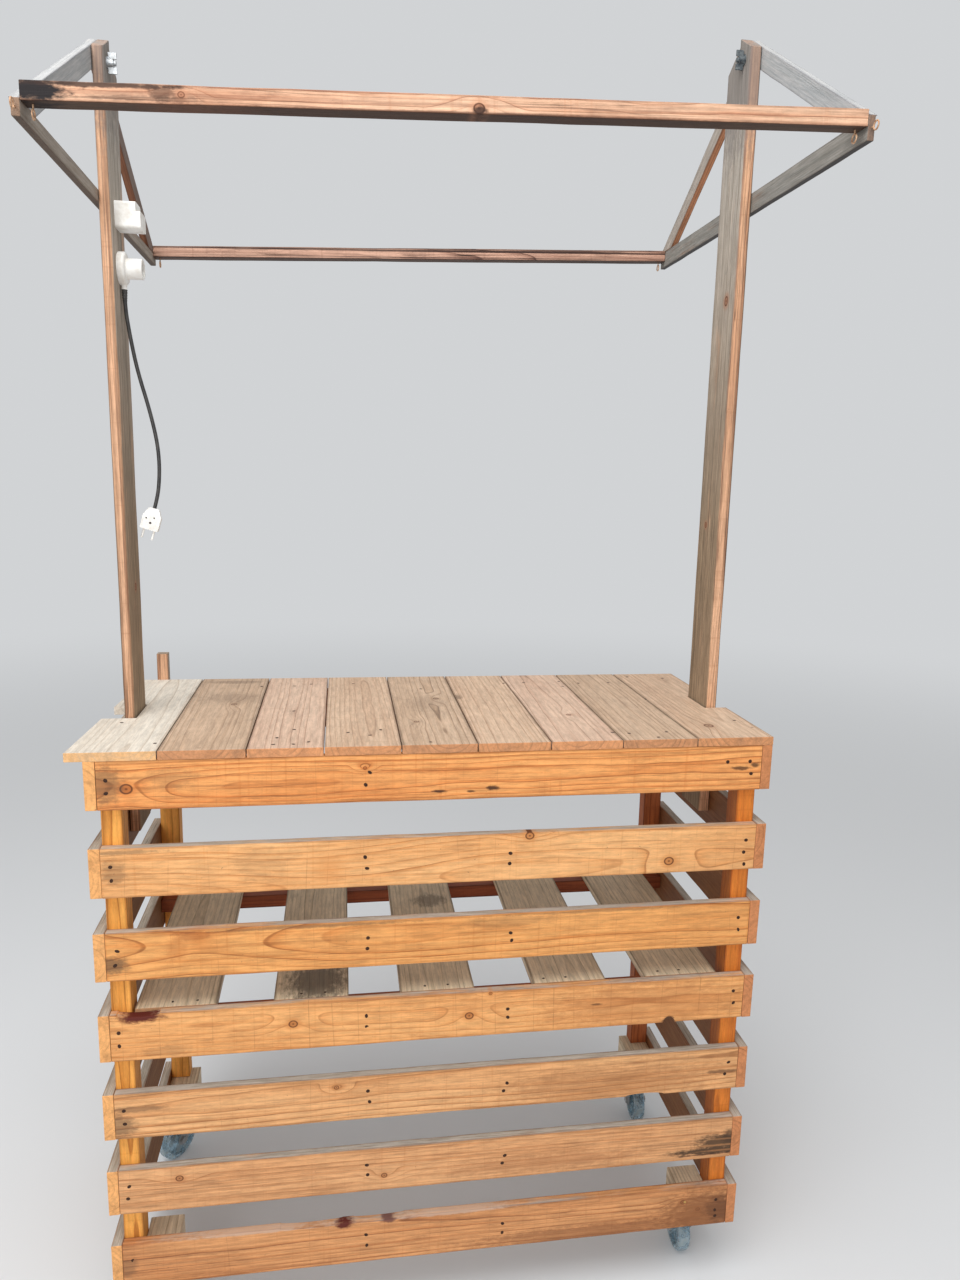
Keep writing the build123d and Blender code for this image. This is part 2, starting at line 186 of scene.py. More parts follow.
LOOKS = {
    "slat 1": look((238, 182, 124), (210, 136, 74), (146, 88, 50), (206, 146, 96), top=0.8,
                   press=0.32),
    "slat 2": look((232, 166, 100), (196, 114, 52), (128, 72, 38), (206, 140, 86), top=0.8,
                   check=0.3, press=0.2),
    "slat 3": look((236, 174, 112), (202, 126, 66), (132, 76, 40), (206, 146, 92), top=0.7,
                   press=0.4),
    "slat 4": look((232, 176, 122), (194, 126, 74), (124, 80, 48), (196, 140, 92), top=0.9,
                   grey=0.25, check=0.3, press=0.2),
    "slat 5": look((226, 170, 120), (192, 126, 78), (126, 80, 48), (206, 146, 100), top=0.9,
                   check=0.35, press=0.15),
    "slat 6": look((218, 156, 104), (176, 108, 62), (112, 66, 42), (180, 112, 74), top=0.5,
                   check=0.35, press=0.2),
    "apron": look((240, 168, 102), (204, 114, 54), (118, 66, 36), (190, 120, 70), gap=0.006,
                  top=0.3, check=0.4, press=0.15),
    "post": look((244, 172, 86), (216, 136, 56), (150, 84, 36), (190, 120, 60), gap=0.011,
                 grey=0.0, under=0.0),
    # A darker copy of the post look: painted shade on the right front post
    "right post": look((220, 128, 52), (186, 92, 36), (118, 58, 28), (190, 120, 60), gap=0.011,
                       grey=0.0, inward=-0.72),
    "left side": look((228, 176, 118), (188, 128, 78), (134, 88, 54), (238, 172, 108), grey=0.2,
                      top=1.1, side=0.15, check=0.2, press=0.2, inward=1.0),
    "right side": look((216, 160, 106), (178, 116, 72), (124, 82, 54), (200, 130, 86), grey=0.2,
                       top=1.1, side=0.15, check=0.2, press=0.2, inward=-1.0),
    # Dark brown for boards inside the counter: painted shade
    "inner": look((184, 104, 60), (140, 70, 38), (84, 44, 28), (170, 100, 62), gap=0.007, top=0.3,
                  check=0.2),
    "top": look((208, 179, 152), (180, 144, 116), (118, 92, 74), (206, 140, 92), gap=0.009,
                grey=0.25, edge=0.5, press=0.1),
    "pink": look((212, 182, 158), (186, 148, 124), (120, 92, 76), (212, 144, 94), gap=0.0095,
                 grey=0.2, edge=0.5, press=0.1),
    "dull": look((200, 172, 146), (172, 140, 112), (108, 88, 72), (198, 136, 92), gap=0.009,
                 grey=0.35, edge=0.5, press=0.1),
    "cream": look((220, 211, 197), (208, 195, 178), (178, 160, 140), (226, 172, 112), gap=0.01,
                  edge=0.6, grey=0.0),
    "shelf": look((232, 210, 178), (204, 178, 142), (134, 116, 94), (170, 120, 80), gap=0.008,
                  grey=0.3, check=0.2, edge=0.8),
    "block": look((238, 220, 190), (184, 156, 122), (150, 124, 98), (214, 170, 122), gap=0.0075,
                  grey=0.2),
    "upright": look((226, 178, 142), (172, 118, 86), (96, 66, 50), (148, 132, 114), gap=0.0046,
                    grey=0.25, top=0.5, side=0.8, under=0.0, check=0.75, foot=0.85),
    "gable": look((194, 134, 98), (146, 96, 70), (92, 66, 50), (150, 118, 96), gap=0.0075,
                  grey=0.3, top=1.2, side=1.3, under=0.0, check=0.35),
    "tie": look((176, 130, 98), (134, 96, 72), (74, 58, 48), (150, 118, 96), gap=0.0065,
                grey=0.25, top=0.9, side=0.8, under=1.1, check=0.5),
    "rail": look((232, 189, 157), (202, 142, 108), (110, 62, 42), (176, 120, 84), gap=0.005,
                 grey=0.1, top=0.3, under=1.0, check=0.5),
    "back rail": look((202, 160, 138), (130, 88, 72), (56, 36, 30), (150, 104, 80), gap=0.0036,
                      grey=0.2, top=0.7, under=0.9, check=1.3),
    # Reddish-brown wood, darkened further with painted shade
    "shelf rail": look((156, 84, 52), (116, 56, 34), (70, 38, 26), (150, 90, 60), gap=0.007,
                       top=0.3, check=0.2),
}


def timber_group():
    """The part of every timber finish that doesn't change from board to board."""
    tree = bpy.data.node_groups.new("sawn timber", "ShaderNodeTree")
    sockets = {"Vector": ("Place", "Half size", "Pith", "Lean"),
               "Float": ("Seed", "Ring gap", "Grey", "Top grey", "Side grey", "Under", "Checks",
                         "Press", "Edge", "Inward", "Foot", "Knot swell", "Knot"),
               "Color": ("Pale", "Ring", "Stain", "End")}
    for kind, names in sockets.items():
        for name in names:
            tree.interface.new_socket(name, in_out="INPUT", socket_type="NodeSocket" + kind)
    for name, kind in (("Color", "Color"), ("Roughness", "Float"), ("Height", "Float")):
        tree.interface.new_socket(name, in_out="OUTPUT", socket_type="NodeSocket" + kind)
    given = tree.nodes.new("NodeGroupInput").outputs
    place, seed = given["Place"], given["Seed"]
    pale, ring, stain = given["Pale"], given["Ring"], given["Stain"]
    along = add(tree, "SeparateXYZ", {0: place}).outputs[0]
    other_seeds = [calc(tree, "ADD", seed, shift) for shift in (1.9, 3.1, 5.3, 7.3, 9.2)]
    dark_seed, hue_seed, mottle_seed, weather_seed, split_seed = other_seeds

    # Growth rings that wander, with a dark line at the end of some years
    sway = None
    for stretch, amount in (((1.5, 5.0, 5.0), 0.026), ((8.0, 24.0, 24.0), 0.0045)):
        drift = add(tree, "TexNoise", {"Vector": vcalc(tree, "MULTIPLY", place, stretch),
                                       "W": seed, "Scale": 1.0, "Detail": 1.0},
                    noise_dimensions="4D").outputs["Color"]
        drift = vcalc(tree, "SUBTRACT", drift, (0.5, 0.5, 0.5))
        drift = vcalc(tree, "MULTIPLY", drift, (0, amount, amount))
        sway = drift if sway is None else vcalc(tree, "ADD", sway, drift)
    lean = add(tree, "VectorMath", {0: given["Lean"], "Scale": along}, operation="SCALE")
    axis = vcalc(tree, "SUBTRACT", place, given["Pith"])
    axis = vcalc(tree, "ADD", vcalc(tree, "SUBTRACT", axis, lean.outputs[0]), sway)
    reach = vcalc(tree, "LENGTH", vcalc(tree, "MULTIPLY", axis, (0, 1, 1)))
    count = calc(tree, "ADD", calc(tree, "DIVIDE", reach, given["Ring gap"]), given["Knot swell"])
    year = chance(tree, calc(tree, "ADD", calc(tree, "FLOOR", count), seed))
    turn = calc(tree, "FRACT", count)
    uneven = grain(tree, place, 6.0, 70.0, 3.0, seed)
    strength = calc(tree, "MULTIPLY", calc(tree, "ADD", 0.35, year), uneven)
    late = calc(tree, "MULTIPLY", fade(tree, turn, 0.45, 0.93), fade(tree, turn, 1.0, 0.95))
    late = calc(tree, "MULTIPLY", late, strength, clamp=True)
    hue = grain(tree, place, 2.5, 12.0, 3.0, hue_seed)
    colour = blend(tree, fade(tree, hue, 0.4, 0.75, 0.0, 0.45), pale, ring)
    colour = blend(tree, late, colour, ring)
    line = calc(tree, "MULTIPLY", fade(tree, turn, 0.84, 0.93), fade(tree, turn, 0.99, 0.95))
    line = calc(tree, "MULTIPLY", line, calc(tree, "MULTIPLY", year, 0.75))
    colour = blend(tree, line, colour, stain)

    # Fibres, streaks, stains and the marks of the saw
    fibre = grain(tree, place, 16.0, 760.0, 3.0, seed, 0.6)
    streak = grain(tree, place, 3.0, 190.0, 3.0, seed)
    tick = grain(tree, place, 70.0, 900.0, 2.0, seed)
    patch = grain(tree, place, 9.0, 34.0, 5.0, seed, 0.65)
    saw = grain(tree, place, 170.0, 5.0, 2.0, seed)
    colour = blend(tree, fade(tree, streak, 0.5, 0.76, 0.0, 0.6), colour, ring)
    colour = blend(tree, fade(tree, fibre, 0.5, 0.8, 0.0, 0.4), colour, stain)
    colour = blend(tree, fade(tree, tick, 0.68, 0.78, 0.0, 0.45), colour, stain)
    colour = blend(tree, fade(tree, patch, 0.56, 0.8, 0.0, 0.5), colour, stain)
    colour = blend(tree, fade(tree, saw, 0.56, 0.74, 0.0, 0.3), colour, ring)

    # Bands that the rollers of the planer pressed across the board
    slow = grain(tree, place, 5.0, 0.7, 1.0, seed)
    press = calc(tree, "ADD", calc(tree, "MULTIPLY", along, 27.0),
                 calc(tree, "MULTIPLY", slow, 5.0))
    press = calc(tree, "ABSOLUTE", calc(tree, "SUBTRACT", calc(tree, "FRACT", press), 0.5))
    press = fade(tree, press, 0.03, 0.012)
    sort = chance(tree, calc(tree, "FLOOR", calc(tree, "MULTIPLY", along, 31.0)))
    press = calc(tree, "MULTIPLY", press,
                 calc(tree, "MULTIPLY", sort, fade(tree, patch, 0.35, 0.6)))
    colour = blend(tree, calc(tree, "MULTIPLY", sort, given["Press"]), colour,
                   blend(tree, 0.35, pale, ring))
    colour = blend(tree, calc(tree, "MULTIPLY", press, given["Press"]), colour, stain)

    # Dark streaks and drying splits
    dark = grain(tree, place, 1.1, 230.0, 3.0, dark_seed)
    dark = calc(tree, "MULTIPLY", fade(tree, dark, 0.48, 0.66), given["Checks"])
    colour = blend(tree, calc(tree, "MULTIPLY", dark, 0.75), colour, stain)
    split = grain(tree, place, 1.6, 110.0, 2.0, split_seed)
    split = fade(tree, calc(tree, "ABSOLUTE", calc(tree, "SUBTRACT", split, 0.5)), 0.016, 0.005)
    split = calc(tree, "MULTIPLY", split,
                 calc(tree, "MULTIPLY", fade(tree, hue, 0.42, 0.6), given["Checks"]))
    colour = blend(tree, calc(tree, "MULTIPLY", split, 0.8), colour, tone(70, 50, 40))

    # A grey film of weather, most on upper faces and flanks, and browner low down
    facing = add(tree, "SeparateXYZ", {0: add(tree, "TexCoord").outputs["Normal"]}).outputs
    flank = fade(tree, calc(tree, "ABSOLUTE", facing[0]), 0.5, 0.9)
    upper = fade(tree, facing[2], 0.5, 0.9)
    weather = grain(tree, place, 6.0, 46.0, 5.0, weather_seed, 0.65)
    grey = calc(tree, "ADD", given["Grey"], calc(tree, "MULTIPLY", flank, given["Side grey"]))
    grey = calc(tree, "ADD", grey, calc(tree, "MULTIPLY", upper, given["Top grey"]))
    bare = calc(tree, "SUBTRACT", 0.86, calc(tree, "MULTIPLY", grey, 0.62))
    cover = fade(tree, weather, bare, calc(tree, "ADD", bare, 0.24), 0.0, 0.88)
    fibrous = fade(tree, fibre, 0.3, 0.8)
    film = blend(tree, fibrous, blend(tree, 0.86, pale, tone(180, 184, 180)),
                 blend(tree, 0.8, stain, tone(136, 136, 124)))
    low = calc(tree, "MULTIPLY", fade(tree, along, 0.6, -0.3), given["Foot"])
    film = blend(tree, low, film, blend(tree, fibrous, tone(156, 132, 102), tone(98, 82, 60)))
    colour = blend(tree, cover, colour, film)
    colour = blend(tree, calc(tree, "MULTIPLY", dark, calc(tree, "MULTIPLY", flank, 0.5)), colour,
                   tone(92, 78, 58))

    # Painted shade: inner faces turn a darker brown, and undersides almost black
    inner = fade(tree, calc(tree, "MULTIPLY", facing[0], given["Inward"]), 0.5, 0.9, 0.0, 0.75)
    colour = blend(tree, inner, colour, blend(tree, hue, tone(122, 74, 46), tone(78, 46, 32)))
    under_painted_shade = calc(tree, "MULTIPLY", fade(tree, facing[2], -0.5, -0.9), given["Under"])
    colour = blend(tree, calc(tree, "MULTIPLY", under_painted_shade, 0.9), colour, tone(44, 33, 29))

    # Rubbed arrises, the end cut and fine dirt
    spare = vcalc(tree, "SUBTRACT", given["Half size"], vcalc(tree, "ABSOLUTE", place))
    left = add(tree, "SeparateXYZ", {0: spare}).outputs
    rubbed = calc(tree, "SUBTRACT", calc(tree, "MAXIMUM", left[1], left[2]),
                  calc(tree, "MULTIPLY", uneven, 0.007))
    rubbed = calc(tree, "MULTIPLY", fade(tree, rubbed, 0.001, -0.0024), given["Edge"])
    colour = blend(tree, rubbed, colour, stain)
    tip = fade(tree, left[0], 0.0014, 0.0004)
    cut = calc(tree, "MAXIMUM", calc(tree, "MULTIPLY", late, 0.55),
               fade(tree, patch, 0.45, 0.8, 0.0, 0.6))
    colour = blend(tree, calc(tree, "MULTIPLY", tip, 0.9), colour,
                   blend(tree, cut, given["End"], stain))
    mottle = grain(tree, place, 20.0, 130.0, 8.0, mottle_seed, 0.75)
    colour = blend(tree, 1.0, colour, fade(tree, mottle, 0.34, 0.66, 0.82, 1.15), "MULTIPLY")
    soil = cloud(tree, place, 210.0, 2.0, seed)
    colour = blend(tree, fade(tree, soil, 0.7, 0.78, 0.0, 0.5), colour, tone(84, 62, 48))

    # Knots: a darker heart in a brown rim
    knot = given["Knot"]
    brown = tone(84, 46, 28)
    colour = blend(tree, fade(tree, knot, 2.4, 1.0, 0.0, 0.5), colour, ring)
    colour = blend(tree, fade(tree, knot, 1.05, 0.8, 0.0, 0.7), colour,
                   blend(tree, 0.5, stain, ring))
    rim = calc(tree, "ABSOLUTE", calc(tree, "SUBTRACT", knot, 0.9))
    colour = blend(tree, fade(tree, rim, 0.24, 0.06, 0.0, 0.85), colour, brown)
    colour = blend(tree, fade(tree, knot, 0.34, 0.12, 0.0, 0.7), colour, brown)

    shine = calc(tree, "ADD", 0.64, calc(tree, "MULTIPLY", cover, 0.25))
    height = calc(tree, "ADD", calc(tree, "MULTIPLY", fibre, 0.8),
                  calc(tree, "MULTIPLY", late, 0.35))
    height = calc(tree, "ADD", height, calc(tree, "MULTIPLY", saw, 0.4))
    height = calc(tree, "SUBTRACT", height, calc(tree, "MULTIPLY", split, 1.6))
    out = tree.nodes.new("NodeGroupOutput")
    tree.links.new(colour, out.inputs["Color"])
    tree.links.new(shine, out.inputs["Roughness"])
    tree.links.new(height, out.inputs["Height"])
    return tree


TIMBER = timber_group()
NO_KNOT = 9.0


def timber(name, kind, centre, turn, half, seed, pith, knots=(), marks=()):
    """A board's own finish.

    Knots are (along, across, radius) in millimetres from its middle; a negative radius is a swirl
    with no core. Marks are (along, across, half length, half width, strength, colour).
    """
    material, tree, shader = finish(name)
    place = add(tree, "Mapping", {"Vector": local(tree), "Location": centre, "Rotation": turn},
                vector_type="TEXTURE").outputs[0]
    group = tree.nodes.new("ShaderNodeGroup")
    group.node_tree = TIMBER
    values = {"Half size": half, "Pith": (0, pith[0], pith[1]), "Lean": (0, pith[2], pith[3]),
              "Seed": seed, "Ring gap": kind["gap"], "Grey": kind["grey"],
              "Top grey": kind["top"], "Side grey": kind["side"], "Under": kind["under"],
              "Checks": kind["check"], "Press": kind["press"], "Edge": kind["edge"],
              "Inward": kind["inward"], "Foot": kind["foot"], "Knot": NO_KNOT}
    for socket in ("Pale", "Ring", "Stain", "End"):
        values[socket] = tone(*kind[socket.lower()])
    for socket, value in values.items():
        group.inputs[socket].default_value = value
    tree.links.new(place, group.inputs["Place"])

    def reach(off, flatten, radius):
        """How far a place is from a knot, in the knot's own radius."""
        distance = vcalc(tree, "LENGTH", vcalc(tree, "MULTIPLY", off, (flatten, 1, 0)))
        return calc(tree, "DIVIDE", distance, abs(radius) / 1000)

    swell, core = None, None
    for x, y, radius in knots:
        off = vcalc(tree, "SUBTRACT", place, (x / 1000, y / 1000, 0))
        away = reach(off, 0.85, radius)
        bulge = fade(tree, reach(off, 0.42, radius), 5.0, 0.0, 0.0, 1.5 if radius > 0 else 2.4)
        away = away if radius > 0 else calc(tree, "ADD", away, 1.1)
        swell = bulge if swell is None else calc(tree, "ADD", swell, bulge)
        core = away if core is None else calc(tree, "MINIMUM", core, away)
    if swell is not None:
        tree.links.new(swell, group.inputs["Knot swell"])
        tree.links.new(core, group.inputs["Knot"])
    colour = group.outputs["Color"]
    ragged = grain(tree, place, 60.0, 130.0, 5.0, seed, 0.7)
    for x, y, length, width, strength, shade in marks:
        away = vcalc(tree, "SUBTRACT", place, (x / 1000, y / 1000, 0))
        away = vcalc(tree, "MULTIPLY", away, (1000 / length, 1000 / width, 0))
        away = calc(tree, "ADD", vcalc(tree, "LENGTH", away), calc(tree, "MULTIPLY", ragged, 1.6))
        colour = blend(tree, fade(tree, away, 1.8, 1.2, 0.0, strength), colour, tone(*shade))
    tree.links.new(colour, shader.inputs["Base Color"])
    tree.links.new(group.outputs["Roughness"], shader.inputs["Roughness"])
    shader.inputs["Specular IOR Level"].default_value = 0.3
    relief(tree, shader, group.outputs["Height"], 0.5, 0.0010)
    return material


# Boards

# The angle up to which faces count as one, and what makes an edge an arris: its angle and length
FLAT_ANGLE, ARRIS_ANGLE, ARRIS_LENGTH = 0.02, 0.6, 0.006


def link(name, mesh):
    """A new piece of the counter or roof, which stays with the stall."""
    data = bpy.data.meshes.new(name)
    mesh.to_mesh(data)
    mesh.free()
    piece = bpy.data.objects.new(name, data)
    bpy.context.scene.collection.objects.link(piece)
    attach(piece, "stall")
    return piece


def cut_across(mesh, point, normal):
    """A ring of edges where a plane meets the mesh."""
    bmesh.ops.bisect_plane(mesh, geom=mesh.verts[:] + mesh.edges[:] + mesh.faces[:], dist=WELD,
                           plane_co=point, plane_no=normal)


def separate(mesh):
    """The faces of each loose board, in order along X, then Z, then Y."""
    boards, seen = [], set()
    for start in mesh.faces:
        if start in seen:
            continue
        seen.add(start)
        board, wait = [], [start]
        while wait:
            face = wait.pop()
            board.append(face)
            for edge in face.edges:
                for other in edge.link_faces:
                    if other not in seen:
                        seen.add(other)
                        wait.append(other)
        boards.append(board)

    def place(board):
        """The board's middle in whole centimetres, off the half-millimetre steps of the drawing."""
        middle = sum((face.calc_center_median() for face in board), Vector()) / len(board)
        return tuple(round(c * 100 + 0.23) for c in (middle.x, middle.z, middle.y))

    return sorted(boards, key=place)


def bite(mesh, view, middle, place, width, depth, edge):
    """A shallow round bite where a board's upper edge, 1, or lower edge, -1, is missing."""
    along, across, near_rim = view[0], view[1], 0.004
    heights = [(view @ v.co).y for v in mesh.verts]
    rim = max(heights) if edge > 0 else min(heights)
    for angle in range(-90, 91, 15):
        at = place + width * math.sin(math.radians(angle))
        cut_across(mesh, along * (at + middle) / 1000, along)
    for v in mesh.verts:
        at, height = (view @ v.co).x * 1000 - middle, (view @ v.co).y
        if abs(at - place) < width and abs(height - rim) < near_rim:
            v.co -= across * edge * depth / 1000 * math.sqrt(1 - ((at - place) / width) ** 2)


def board(node, looks, along, across, seed, pith=(0.004, -0.03, 0.012, 0.014), knots=None,
          marks=None, arris=0.0012, slot="orange_wood", dips=(), wander=0.0011):
    """Boards with softened arrises and faces that aren't quite flat, in place of a plain node.

    Pith is the pith line's place beside a board and its lean. Knots and marks go by the board's
    number. Dips are (along, half width, depth, edge) in millimetres from the middle.
    """
    mesh = bmesh.new()
    mesh.from_mesh(frame["nodes"][node].data)
    bmesh.ops.remove_doubles(mesh, verts=mesh.verts, dist=WELD)
    bmesh.ops.dissolve_limit(mesh, angle_limit=FLAT_ANGLE, verts=mesh.verts, edges=mesh.edges)
    sharp = [edge for edge in mesh.edges if edge.is_manifold
             and edge.calc_face_angle(0) > ARRIS_ANGLE and edge.calc_length() > ARRIS_LENGTH]
    bmesh.ops.bevel(mesh, geom=sharp, offset=arris, offset_type="OFFSET", segments=2, profile=0.5,
                    affect="EDGES", clamp_overlap=True, material=-1)
    view = Matrix((along, across, along.cross(across)))
    back = view.transposed()
    ends = [(view @ v.co).x for v in mesh.verts]
    first, last = min(ends), max(ends)
    section, waves = 0.05, 9.0
    for step in range(1, int((last - first) / section)):
        cut_across(mesh, along * (first + section * step), along)
    for dip in dips:
        bite(mesh, view, (last + first) * 500, *dip)

    looks = looks if isinstance(looks, list) else [looks]
    finishes = []
    for index, faces in enumerate(separate(mesh)):
        verts = {v for face in faces for v in face.verts}
        turned = [view @ v.co for v in verts]
        low = Vector(min(p[i] for p in turned) for i in range(3))
        high = Vector(max(p[i] for p in turned) for i in range(3))
        centre = back @ ((low + high) / 2)
        for v in verts:
            wave = stray(v.co * waves + X * (seed + index)) * wander
            inward = view @ (centre - v.co)
            push = Vector([math.copysign(abs(w), i) for w, i in zip(view @ wave, inward)])
            push.x = 0
            v.co += back @ push
        for face in faces:
            face.material_index = index
        kind = LOOKS[looks[index % len(looks)]]
        number = seed * 3.7 + index * 5.1
        shift = (pith[0] + 0.02 * math.sin(number), pith[1] - 0.012 * math.cos(number * 1.7),
                 pith[2] * math.sin(number * 2.3), pith[3] * math.cos(number * 1.3))
        finishes.append(timber("%s finish %d" % (node, index + 1), kind, centre, back.to_euler(),
                               (high - low) / 2, number, shift, (knots or {}).get(index, ()),
                               (marks or {}).get(index, ())))
    piece = link(node + "_wood", mesh)
    for item in finishes:
        piece.data.materials.append(item)
    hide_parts(node)


def slope_of(node):
    """The direction along a rafter, from its foot to the ridge."""
    low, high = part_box(node)
    run = high[1] - low[1]
    return Vector((0, run if "front" in node else -run, high[2] - low[2])).normalized()


GRIME, BARK, ROT, SOOT = (92, 74, 58), (92, 38, 28), (86, 64, 46), (58, 38, 30)
SPLINTER, SAPWOOD = (150, 104, 68), (206, 178, 158)
FRONT_FILM = ((0, 0, 700, 90, 0.3, (176, 196, 212)),)
# Weather film on the front rafters, and painted shade over the rear left rafter
RAFTER_FILM_AND_SHADE = {"rafter_front_left": FRONT_FILM, "rafter_front_right": FRONT_FILM,
               "rafter_rear_left": ((0, 0, 700, 90, 0.6, (84, 50, 38)),),
               "rafter_rear_right": ()}
TIE_FILM = {"left": (138, 120, 104), "right": (92, 95, 96)}
UPRIGHT_KNOTS = {"left": ((-240, 10, 6),), "right": ((289, -14, 8), (-156, 14, 5))}


def front_boards():
    """The apron and the six slats below it, each with its own knots, stains and missing edges."""
    board("front_apron", "apron", X, Z, 1.0, pith=(0.01, -0.02, 0.01, 0.03),
          knots={0: ((-551, -6, 9), (-146, 20, 3))},
          marks={0: ((-585, 2, 40, 46, 0.55, GRIME), (-12, -27, 16, 4, 0.9, SOOT),
                     (44, -29, 10, 3, 0.8, SOOT), (84, -24, 16, 6, 0.9, SOOT),
                     (560, 0, 26, 5, 0.8, SOOT), (588, 6, 12, 6, 0.8, SOOT),
                     (-480, 12, 60, 26, 0.3, GRIME))})
    board("front_slat_1", "slat 1", X, Z, 3.2, pith=(-0.02, -0.022, 0.03, 0.03),
          knots={0: ((428, -22, 8), (156, 40, 7), (-210, -8, -30))},
          marks={0: ((-330, 8, 60, 40, 0.18, GRIME), (-580, 0, 30, 30, 0.45, GRIME),
                     (-560, 38, 80, 5, 0.5, GRIME))})
    board("front_slat_2", "slat 2", X, Z, 4.4, pith=(0.03, -0.05, 0.03, 0.01),
          knots={0: ((-440, 30, -26),)},
          marks={0: ((-590, -14, 34, 22, 0.7, GRIME), (-452, 34, 44, 12, 0.4, (150, 84, 46)),
                     (-478, 12, 24, 30, 0.35, (176, 104, 52)), (120, 30, 120, 14, 0.25, GRIME),
                     (-250, 40, 260, 4, 0.5, GRIME), (300, 41, 200, 4, 0.4, GRIME))})
    board("front_slat_3", "slat 3", X, Z, 5.6, pith=(-0.01, -0.02, 0.03, 0.02),
          knots={0: ((-278, 6, 7), (50, -2, 7), (90, 42, 3))},
          # The broad brown patch over the right half is painted shade
          marks={0: ((400, -4, 260, 60, 0.36, (166, 98, 54)), (-548, 38, 52, 12, 1.0, BARK),
                     (449, -44, 17, 15, 1.0, SOOT), (300, 4, 16, 3, 0.7, SOOT),
                     (-500, -30, 60, 14, 0.25, GRIME))},
          dips=((-550, 38, 6, 1), (449, 12, 12, -1)))
    board("front_slat_4", "slat 4", X, Z, 6.8, pith=(0.02, -0.03, 0.02, 0.02),
          knots={0: ((-200, 26, 4),)},
          # The broad brown patch over the right half is painted shade
          marks={0: ((330, -14, 300, 50, 0.36, (152, 98, 60)), (-590, -20, 40, 30, 0.6, GRIME),
                     (-560, 14, 60, 8, 0.5, GRIME), (570, -6, 50, 5, 0.6, SOOT))},
          dips=((408, 40, 5, -1),))
    board("front_slat_5", "slat 5", X, Z, 8.0, pith=(-0.04, -0.03, 0.02, 0.01),
          knots={0: ((-491, 20, 6), (-110, -14, 5))},
          # The broad brown patch over the right half is painted shade
          marks={0: ((200, -18, 260, 24, 0.34, (146, 92, 58)), (586, -10, 84, 27, 0.95, ROT),
                     (560, -28, 112, 11, 1.0, ROT), (596, 2, 26, 22, 0.6, (66, 48, 36)),
                     (566, -17, 60, 3, 0.8, (164, 116, 76)), (576, -29, 66, 3, 0.8, SPLINTER),
                     (584, -3, 44, 2.5, 0.7, SPLINTER), (540, -36, 70, 3, 0.8, SOOT))})
    board("front_slat_6", "slat 6", X, Z, 9.2, pith=(0.03, -0.02, 0.02, 0.02),
          knots={0: ((505, 14, 5), (538, -6, 4))},
          # The broad brown patch over the lower right half is painted shade
          marks={0: ((300, -34, 330, 26, 0.5, (124, 78, 50)),
                     (570, -16, 150, 70, 0.75, (132, 84, 52)),
                     (590, -10, 50, 40, 0.6, (92, 58, 38)), (-330, 45, 230, 5, 0.6, SAPWOOD),
                     (30, 45, 150, 5, 0.6, SAPWOOD), (-186, 42, 22, 9, 1.0, BARK),
                     (-102, 43, 18, 7, 0.9, (104, 66, 60)), (-590, -4, 22, 30, 0.4, GRIME),
                     (-290, -38, 330, 4, 0.4, (150, 92, 56)))},
          dips=((-250, 60, 4, 1), (-120, 50, 3, 1)))


def side_boards(side):
    """One side of the counter, its upright and its half of the roof frame."""
    right, shift = side == "right", len(side)
    weathered = dict(slot="weathered_wood")
    board("side_apron_" + side, side + " side", Y, Z, 11.0 + shift, pith=(0.004, -0.03, 0.02, 0.02))
    board("side_slats_" + side, side + " side", Y, Z, 14.0 + shift)
    board("front_post_" + side, "right post" if right else "post", Z, X, 18.0 + shift)
    board("rear_post_" + side, "inner" if right else "post", Z, X, 21.0 + shift)
    board("upright_" + side, "upright", Z, Y, 30.0 + shift, **weathered,
          knots={0: UPRIGHT_KNOTS[side]}, marks={0: ((720, 0, 210, 300, 0.65, (112, 107, 105)),)})
    board("tie_" + side, "tie", Y, Z, 33.0 + shift, **weathered,
          marks={0: ((0, 0, 900, 90, 0.4, TIE_FILM[side]),)})
    for end in ("front", "rear"):
        node = "rafter_%s_%s" % (end, side)
        along = slope_of(node)
        board(node, "gable", along, X.cross(along), 36.0 + len(side + end), **weathered,
              marks={0: RAFTER_FILM_AND_SHADE[node]})


def top_and_shelf():
    """The counter top and the shelf, with the rear apron and the blocks over the casters."""
    flat = dict(slot="board_wood", arris=0.0006, wander=0.0005)
    board("rear_apron", "inner", X, Z, 24.0)
    board("top_board_left", "cream", Y, X, 41.0, **flat)
    board("top_boards", ["dull", "pink", "top", "dull", "top", "pink", "dull"], Y, X, 42.0, **flat,
          knots={0: ((40, 20, 6),), 3: ((-120, -30, 5), (60, 26, 6)), 5: ((-90, 10, 5),)},
          marks={0: ((90, 10, 60, 90, 0.25, GRIME), (240, 0, 20, 80, 0.4, GRIME)),
                 3: ((20, 0, 90, 60, 0.2, GRIME),), 4: ((70, -60, 24, 12, 0.5, GRIME),)})
    board("top_board_right", "top", Y, X, 43.0, **flat, knots={0: ((-190, -20, 9),)})
    board("shelf_boards", "shelf", Y, X, 44.0, slot="board_wood",
          marks={1: ((-190, 10, 100, 76, 0.75, (72, 62, 52)),),
                 2: ((120, 20, 40, 50, 0.6, (84, 70, 56)),)})
    board("shelf_rail_front", "shelf rail", X, Z, 45.0)
    board("shelf_rail_rear", "shelf rail", X, Z, 46.0)
    board("caster_blocks", "block", Y, X, 47.0, slot="board_wood")


